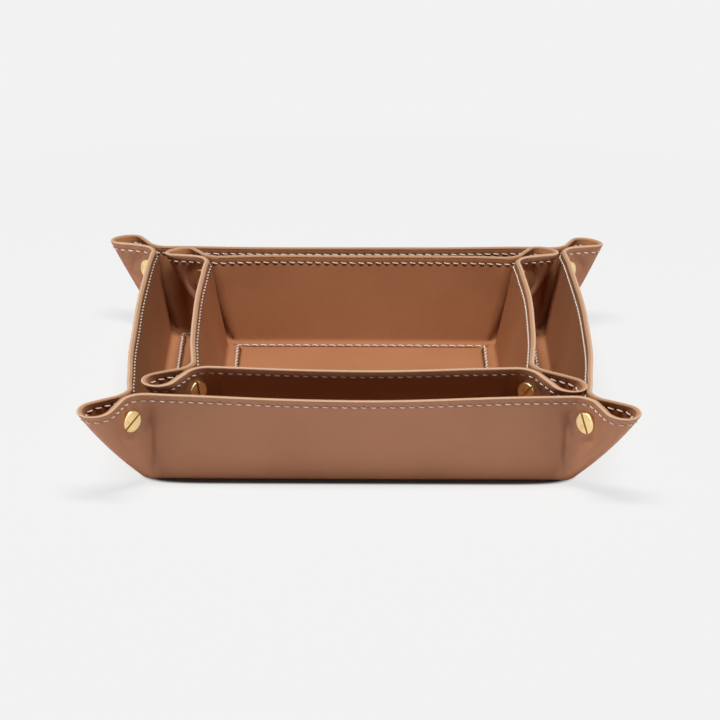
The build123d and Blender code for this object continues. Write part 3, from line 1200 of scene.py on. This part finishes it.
def wear_group() -> bpy.types.NodeTree:
    """Slow tone changes in the hide and small rubbed patches.

    Returns:
        A group that puts out Cloud and Rub.
    """
    kit = GroupKit("HideWear")
    cloud = kit.ramp(kit.noise(kit.place, 22, 4), 0.3, 0.7)
    return kit.finish({"Cloud": cloud, "Rub": kit.ramp(kit.noise(kit.place, 120, 5), 0.55, 0.8)})


@dataclass(frozen=True)
class HideFinish:
    """Smooth tan leather with a fine grain, slow tone changes, a pale burnished cut edge, and painted shade
    in its seams and creases.

    Attributes:
        name: The finish's name.
        deep: Colour in the fine creases and dark clouds.
        light: Colour of the light clouds and the rubbed patches.
        edge: Colour of the cut edge.
        specular: Level of its plain reflection.
        seam_press_and_shade: How much of the pressed colour shows along a seam, as pressed leather and
            painted shade.
        pressed: Colour of leather that is pressed in; along the seams it is also painted shade, and in the
            creases only painted shade.
        crease_painted_shade: How much of the pressed colour shows in an upright crease, as painted shade.
        grain_shade, pore_shade: How much of the deep colour shows in the grain's creases and pores.
        rub_shade: How much of the light colour shows in a rubbed patch.
        roughness, rub_rough, edge_rough: Roughness of the face, and what a rub and the cut edge add.
        grain_strength, grain_depth: Strength of the grain, and its height in metres.
    """

    name: str
    deep: Colour
    light: Colour
    edge: Colour
    specular: float
    seam_press_and_shade: float
    pressed: Colour = (0.16, 0.055, 0.02, 1)
    crease_painted_shade: float = 0.28
    grain_shade: float = 0.35
    pore_shade: float = 0.3
    rub_shade: float = 0.25
    roughness: float = 0.55
    rub_rough: float = -0.08
    edge_rough: float = 0.12
    grain_strength: float = 0.7
    grain_depth: float = 0.00007

    def make(self, grain: bpy.types.NodeTree, wear: bpy.types.NodeTree) -> bpy.types.Material:
        """Builds the material, one layer of colour on the other.

        Args:
            grain: The grain group.
            wear: The wear group.

        Returns:
            The material.
        """
        kit = MaterialKit(self.name)
        grained = kit.add("ShaderNodeGroup", {"Place": kit.place}, node_tree=grain).outputs
        worn = kit.add("ShaderNodeGroup", {"Place": kit.place}, node_tree=wear).outputs
        edge = kit.attribute("cut_edge")
        colour = kit.mix(worn["Cloud"], self.deep, self.light)
        for mask, share, layer in (
            (grained["Crease"], self.grain_shade, self.deep),
            (grained["Pore"], self.pore_shade, self.deep),
            (worn["Rub"], self.rub_shade, self.light),
            # Along a seam the pressed colour is pressed leather and painted shade.
            (kit.attribute("seam"), self.seam_press_and_shade, self.pressed),
            # Painted shade in the upright crease.
            (kit.attribute("crease"), self.crease_painted_shade, self.pressed),
        ):
            colour = kit.mix(kit.math("MULTIPLY", mask, share), colour, layer)
        rough = kit.math("MULTIPLY_ADD", worn["Rub"], self.rub_rough, self.roughness)
        return kit.dress({
            "Base Color": kit.mix(edge, colour, self.edge),
            "Roughness": kit.math("MULTIPLY_ADD", edge, self.edge_rough, rough),
            "Normal": kit.bump(grained["Height"], self.grain_strength, self.grain_depth),
            "Specular IOR Level": self.specular,
        })


@dataclass(frozen=True)
class ThreadFinish:
    """Waxed cream thread, twisted, each stitch a little different, with painted shadow in the needle holes.

    Attributes:
        name: The finish's name.
        pale: The lighter colour.
        shade: The darker colour.
        hole_shadow: Colour in a needle hole, a painted shadow.
        twist: Scale of the fine bands that stand for the thread's twist.
        wander: How much the bands wander.
        twist_shade, tint_shade: How much the bands and a stitch's own tint darken it.
        relief, relief_depth: Strength of the bands' relief, and its height in metres.
        roughness: Roughness of the thread.
    """

    name: str
    pale: Colour
    shade: Colour
    hole_shadow: Colour = (0.02, 0.008, 0.003, 1)
    twist: float = 700
    wander: float = 1.5
    twist_shade: float = 0.5
    tint_shade: float = 0.4
    relief: float = 0.6
    relief_depth: float = 0.0001
    roughness: float = 0.62

    def make(self) -> bpy.types.Material:
        """Builds the material.

        Returns:
            The material.
        """
        kit = MaterialKit(self.name)
        waves = {"Vector": kit.place, "Scale": self.twist, "Distortion": self.wander}
        twist = kit.add("ShaderNodeTexWave", waves, bands_direction="DIAGONAL").outputs["Fac"]
        tint = kit.math("MULTIPLY", kit.attribute("tint"), self.tint_shade)
        thread = kit.mix(kit.math("MULTIPLY_ADD", twist, self.twist_shade, tint), self.pale, self.shade)
        return kit.dress({
            # A needle hole's near black is painted shadow.
            "Base Color": kit.mix(kit.attribute("hole_shadow"), thread, self.hole_shadow),
            "Normal": kit.bump(twist, self.relief, self.relief_depth),
            "Roughness": self.roughness,
        })


@dataclass(frozen=True)
class BrassFinish:
    """Satin brass with faint brushed scratches, darker handling marks and painted shade in the screws'
    slots.

    Attributes:
        name: The finish's name.
        bright: The clean colour.
        dull: The colour of the handling marks.
        slot: The colour in a screw's slot, darker as painted shade.
        stretch: How the scratches are drawn out along each axis.
        roughness, scratch_rough, mark_rough: Roughness of the clean metal, and what scratches and
            marks add.
        scratch_strength, scratch_depth: Strength of the scratches, and their depth in metres.
    """

    name: str
    bright: Colour
    dull: Colour
    slot: Colour = (0.62, 0.44, 0.18, 1)
    stretch: tuple[float, float, float] = (1, 1, 14)
    roughness: float = 0.24
    scratch_rough: float = 0.14
    mark_rough: float = 0.08
    scratch_strength: float = 0.25
    scratch_depth: float = 0.00003

    def make(self) -> bpy.types.Material:
        """Builds the material.

        Returns:
            The material.
        """
        kit = MaterialKit(self.name)
        stretched = kit.add("ShaderNodeMapping", {"Vector": kit.place, "Scale": self.stretch})
        scratches = kit.noise(stretched.outputs[0], 900, 3)
        marks = kit.ramp(kit.noise(kit.place, 260, 4), 0.45, 0.75)
        rough = kit.math("MULTIPLY_ADD", scratches, self.scratch_rough, self.roughness)
        return kit.dress({
            # The slot's darker colour is painted shade.
            "Base Color": kit.mix(kit.attribute("slot"), kit.mix(marks, self.bright, self.dull), self.slot),
            "Roughness": kit.math("MULTIPLY_ADD", marks, self.mark_rough, rough),
            "Normal": kit.bump(scratches, self.scratch_strength, self.scratch_depth),
            "Metallic": 1.0,
        })


@dataclass(frozen=True)
class BoardFinish:
    """Grey-brown pressed board, as inside a stiffened tray.

    Attributes:
        name: The finish's name.
        base: The board's colour.
        fleck: The colour of its fibres.
        roughness: Its roughness.
    """

    name: str
    base: Colour
    fleck: Colour
    roughness: float = 0.9

    def make(self) -> bpy.types.Material:
        """Builds the material.

        Returns:
            The material.
        """
        kit = MaterialKit(self.name)
        fibres = kit.ramp(kit.noise(kit.place, 1400, 5), 0.4, 0.7)
        return kit.dress({"Base Color": kit.mix(fibres, self.base, self.fleck), "Roughness": self.roughness})


@dataclass
class ValetTray:
    """One tray: two leathers, four rows of stitches, five boards and its brass.

    Attributes:
        shape: The tray's shape.
        materials: The finishes by slot.
    """

    shape: TrayShape
    materials: dict[str, bpy.types.Material]

    def build(self, nodes: dict[str, bpy.types.Object]) -> None:
        """Builds and dresses every piece of the tray.

        Args:
            nodes: The plain nodes by name.
        """
        grid = TrayGrid(self.shape)
        leather, stitching = LeatherPiece(grid), Stitching(grid)
        self.wear(leather.shell(), "shell_leather", "leather_shell")
        self.wear(leather.lining(), "lining_leather", "leather_lining")
        for face in Face:
            self.wear(stitching.rim(face), "thread", f"rim_{face.value}_thread")
            self.wear(stitching.floor(face), "thread", f"base_{face.value}_thread")
        for turns, side in enumerate(("right", "back", "left", "front")):
            board = WallBoard(self.shape, turns).build(f"{self.shape.name}_{side}_wall_stiffener")
            self.wear(board, "board", f"{side}_wall_board")
        for name, node in nodes.items():
            if name == f"{self.shape.name}_base_board":
                self.paint(node, "board")
            elif name.startswith(self.shape.name) and name.endswith(("_screw", "_post")):
                self.paint(node, "brass")
                mark_slot(node)

    def wear(self, piece: bpy.types.Object, slot: str, node: str) -> None:
        """Gives a new piece its finish and lets it stand for a plain node.

        Args:
            piece: The new piece.
            slot: The material slot.
            node: The node that it stands for, without the tray's name.
        """
        self.paint(piece, slot)
        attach(piece, f"{self.shape.name}_tray")
        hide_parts(f"{self.shape.name}_{node}")
        LOG.info("%s: %d faces", piece.name, len(piece.data.polygons))

    def paint(self, piece: bpy.types.Object, slot: str) -> None:
        """Puts a finish on a piece."""
        piece.data.materials.clear()
        piece.data.materials.append(self.materials[slot])


@dataclass(frozen=True)
class Lamp:
    """A soft rectangular lamp that points at the trays.

    Attributes:
        name: The lamp's name.
        place: Where it hangs, in metres.
        size: Its width and height in metres.
        power: Its power in watts.
    """

    name: str
    place: tuple[float, float, float]
    size: tuple[float, float]
    power: float

    def build(self) -> None:
        """Hangs the lamp at its place."""
        data = bpy.data.lights.new(self.name, "AREA")
        data.shape = "RECTANGLE"
        data.size, data.size_y = self.size
        data.energy = self.power
        thing = bpy.data.objects.new(self.name, data)
        thing.location = self.place
        thing.rotation_euler = (-Vector(self.place)).to_track_quat("-Z", "Y").to_euler()
        bpy.context.scene.collection.objects.link(thing)


LAMPS = (
    Lamp("key", (-0.05, -0.27, 2.4), (1.5, 0.4), 60.0),
    Lamp("fill", (0.1, -1.7, 0.035), (1.4, 0.06), 0.3),
    Lamp("left", (-1.5, -0.62, 0.035), (1.0, 0.06), 7.6),
    Lamp("right", (1.5, -0.62, 0.035), (1.0, 0.06), 5.8),
)


def grey(brightness: float) -> Colour:
    """A colour without a hue."""
    return (brightness, brightness, brightness, 1)


@dataclass(frozen=True)
class Studio:
    """The pale floor, the soft lamps and the camera.

    Attributes:
        backdrop: Brightness of the background.
        sky: Strength of the even light from all sides.
        plain_share: How much of the plain background shows in the floor near the trays.
        fade: Distances between which the floor fades into the background, in metres.
        contact: Distances from the middle, along x or y, between which the contact shadow ends.
        contact_shade: Brightness of the plain background in the contact shadow.
        contact_power: The power that squares the contact shadow.
        contact_unit: The distance that is 1 before that power is taken, in metres.
        floor_tones: The two brightnesses that the floor is speckled with.
        floor_rough, floor_gloss: The floor's roughness and the level of its plain reflection.
        floor_radius: Radius of the floor in metres.
        floor_sides: Number of its sides.
        camera_distance: Distance of the camera from its target in millimetres.
        camera_elevation: Camera's height angle in degrees.
        camera_turn: Turn of the camera about the upright axis in degrees.
        camera_roll: Roll of the camera in degrees.
        target_right: How far right of the middle the camera looks, in millimetres.
        target_height: Height that the camera looks at, in millimetres.
        lens: Focal length for the sensor, in millimetres.
        sensor: Width of the sensor in millimetres.
        clip: Nearest and furthest distance that the camera sees, in metres.
    """

    backdrop: float = 0.888
    sky: float = 0.03
    plain_share: float = 0.84
    fade: tuple[float, float] = (0.15, 0.5)
    contact: tuple[float, float] = (0.0968, 0.1)
    contact_shade: float = 0.004
    contact_power: float = 12.0
    contact_unit: float = 0.1
    floor_tones: tuple[float, float] = (0.86, 0.88)
    floor_rough: float = 0.85
    floor_gloss: float = 0.1
    floor_radius: float = 3.0
    floor_sides: int = 96
    camera_distance: float = 1532.2
    camera_elevation: float = 20.66
    camera_turn: float = 0.169
    camera_roll: float = 0.291
    target_right: float = 0.747
    target_height: float = 21.64
    lens: float = 163.6
    sensor: float = 36
    clip: tuple[float, float] = (0.1, 20)

    def build(self) -> None:
        """Builds everything round the trays."""
        self.floor()
        self.world()
        for lamp in LAMPS:
            lamp.build()
        self.camera()
        bpy.context.scene.view_settings.view_transform = "Standard"

    def floor(self) -> None:
        """Lays a pale round floor: a ring of quads about a fan that is a third as wide."""
        angle = np.linspace(0, 2 * math.pi, self.floor_sides, endpoint=False)
        ring = np.stack([np.cos(angle), np.sin(angle), np.zeros_like(angle)], -1) * self.floor_radius / MM
        points = np.concatenate([ring, ring / 3, [[0, 0, 0]]])
        fan = fan_faces(self.floor_sides, self.floor_sides, 2 * self.floor_sides)
        thing = make_mesh("studio_floor", points, np.concatenate([band_faces(2, self.floor_sides), fan]))
        thing.data.materials.append(self.floor_finish())

    def floor_finish(self) -> bpy.types.Material:
        """The floor's finish, which fades into the background and holds the contact shadow.

        This shadow follows a rounded square: x and y to a high power, added, and that power's root.

        Returns:
            The material.
        """
        kit = MaterialKit("pale_floor")
        distance = kit.add("ShaderNodeVectorMath", {0: kit.place}, operation="LENGTH").outputs["Value"]
        axes = kit.add("ShaderNodeSeparateXYZ", {0: kit.place}).outputs
        sides = (
            kit.math("POWER", kit.math("MULTIPLY", axes[name], 1 / self.contact_unit), self.contact_power)
            for name in ("X", "Y")
        )
        root = kit.math("POWER", kit.math("ADD", *sides), 1 / self.contact_power)
        shadow = kit.ramp(kit.math("MULTIPLY", root, self.contact_unit), *self.contact)
        shade = kit.mix(shadow, grey(self.contact_shade), grey(self.backdrop))
        fade = kit.math("MAXIMUM", kit.ramp(distance, *self.fade), self.plain_share)
        seen = kit.math("MULTIPLY", fade, kit.add("ShaderNodeLightPath").outputs["Is Camera Ray"])
        blend = kit.blend(seen, kit.shader, kit.add("ShaderNodeEmission", {"Color": shade}))
        kit.feed(kit.tree.nodes["Material Output"], {"Surface": blend})
        speckle = kit.mix(kit.noise(kit.place, 400, 2), *map(grey, self.floor_tones))
        return kit.dress({
            "Base Color": speckle,
            "Roughness": self.floor_rough,
            "Specular IOR Level": self.floor_gloss,
        })

    def world(self) -> None:
        """An even soft sky, with the plain background behind it for the camera and in reflections."""
        world = bpy.data.worlds.new("studio")
        bpy.context.scene.world = world
        world.use_nodes = True
        kit = NodeKit(world.node_tree)
        kit.tree.nodes.clear()
        light = kit.add("ShaderNodeBackground", {"Color": grey(1), "Strength": self.sky})
        shown = kit.add("ShaderNodeBackground", {"Color": grey(self.backdrop)})
        rays = kit.add("ShaderNodeLightPath").outputs
        seen = kit.math("MAXIMUM", rays["Is Camera Ray"], rays["Is Transmission Ray"])
        seen = kit.math("MAXIMUM", seen, rays["Is Glossy Ray"])
        kit.add("ShaderNodeOutputWorld", {"Surface": kit.blend(seen, light, shown)})

    def camera(self) -> None:
        """The camera at the photograph's angle.

        It stands at its distance behind the target, raised by its elevation, and is then rolled
        about its own line of sight.
        """
        turn, rise, roll = map(math.radians, (self.camera_turn, self.camera_elevation, self.camera_roll))
        right = Vector((math.cos(turn), -math.sin(turn), 0))
        level = Vector((math.sin(turn), math.cos(turn), 0))
        up_axis = Vector((0, 0, 1))
        target = right * self.target_right * MM + up_axis * self.target_height * MM
        forward = level * math.cos(rise) - up_axis * math.sin(rise)
        up = level * math.sin(rise) + up_axis * math.cos(rise)
        rolled_right = right * math.cos(roll) + up * math.sin(roll)
        rolled_up = up * math.cos(roll) - right * math.sin(roll)
        data = bpy.data.cameras.new("view")
        data.lens, data.sensor_width = self.lens, self.sensor
        data.clip_start, data.clip_end = self.clip
        thing = bpy.data.objects.new("view", data)
        axes = Matrix((rolled_right, rolled_up, -forward)).transposed().to_4x4()
        thing.matrix_world = Matrix.Translation(target - forward * self.camera_distance * MM) @ axes
        bpy.context.scene.collection.objects.link(thing)
        bpy.context.scene.camera = thing


OUTER = TrayShape(
    name="outer",
    base_half=94.0,
    rim_half=102.6,
    side_bow=4.8,
    front_bow=3.2,
    rim_mid=42.0,
    rim_neck=43.2,
    rim_tip=40.3,
    ear_round=9.0,
    seam_margin=5.0,
    place=(0.0, 0.0, 0.0),
    pulls=(
        Pull(at=(-105, -8), reach=78, by=(2.4, 0, 0)),
        Pull(at=(-55, 104), reach=38, by=(0, 0, -1.0)),
        Pull(at=(50, 104), reach=38, by=(0, 0, -0.5)),
        Pull(at=(-98, -104), reach=16, by=(0, 0, 0.5)),
        Pull(at=(-118, 118), reach=15, by=(-1.2, 0, 1.5)),
        Pull(at=(118, 118), reach=15, by=(-1.0, 0, 0.7)),
    ),
)
INNER = TrayShape(
    name="inner",
    base_half=66.7,
    rim_half=76.9,
    side_bow=3.1,
    front_bow=3.1,
    rim_mid=42.4,
    rim_neck=42.8,
    rim_tip=40.0,
    ear_round=8.5,
    seam_margin=4.1,
    place=(1.6, 1.4, PLATEAU_TOP),
    pulls=(
        Pull(at=(-79, 0), reach=62, by=(1.1, 0, 0)),
        Pull(at=(79, 30), reach=40, by=(0.5, 0, 0)),
        Pull(at=(-92, -92), reach=13, by=(-1.3, 0.5, 1.2)),
        Pull(at=(92, -92), reach=14, by=(3.2, -1.0, -0.6)),
        Pull(at=(92, 92), reach=14, by=(0, 0, 1.3)),
    ),
)


def finishes() -> dict[str, bpy.types.Material]:
    """Every finish by its slot.

    Returns:
        The materials.
    """
    grain, wear = grain_group(), wear_group()
    shell = HideFinish(
        name="shell_hide",
        deep=(0.40, 0.175, 0.091, 1),
        light=(0.45, 0.203, 0.109, 1),
        edge=(0.68, 0.435, 0.285, 1),
        specular=0.3,
        seam_press_and_shade=0.2,
    )
    lining = HideFinish(
        name="lining_hide",
        deep=(0.42, 0.178, 0.082, 1),
        light=(0.475, 0.208, 0.10, 1),
        edge=(0.52, 0.305, 0.18, 1),
        specular=0.04,
        seam_press_and_shade=0.6,
    )
    thread = ThreadFinish("cream_thread", pale=(0.88, 0.79, 0.70, 1), shade=(0.72, 0.60, 0.49, 1))
    brass = BrassFinish("satin_brass", bright=(0.90, 0.70, 0.36, 1), dull=(0.72, 0.50, 0.20, 1))
    board = BoardFinish("pressed_board", base=(0.30, 0.24, 0.17, 1), fleck=(0.46, 0.38, 0.28, 1))
    return {
        "shell_leather": shell.make(grain, wear),
        "lining_leather": lining.make(grain, wear),
        "thread": thread.make(),
        "brass": brass.make(),
        "board": board.make(),
    }


def main() -> None:
    """Loads the frame, builds the trays and the studio."""
    logging.basicConfig(level=logging.INFO, format="%(name)s: %(message)s")
    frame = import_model()
    materials = finishes()
    for shape in (OUTER, INNER):
        ValetTray(shape, materials).build(frame["nodes"])
    Studio().build()
    bpy.context.view_layer.update()


if __name__ == "__main__":
    main()
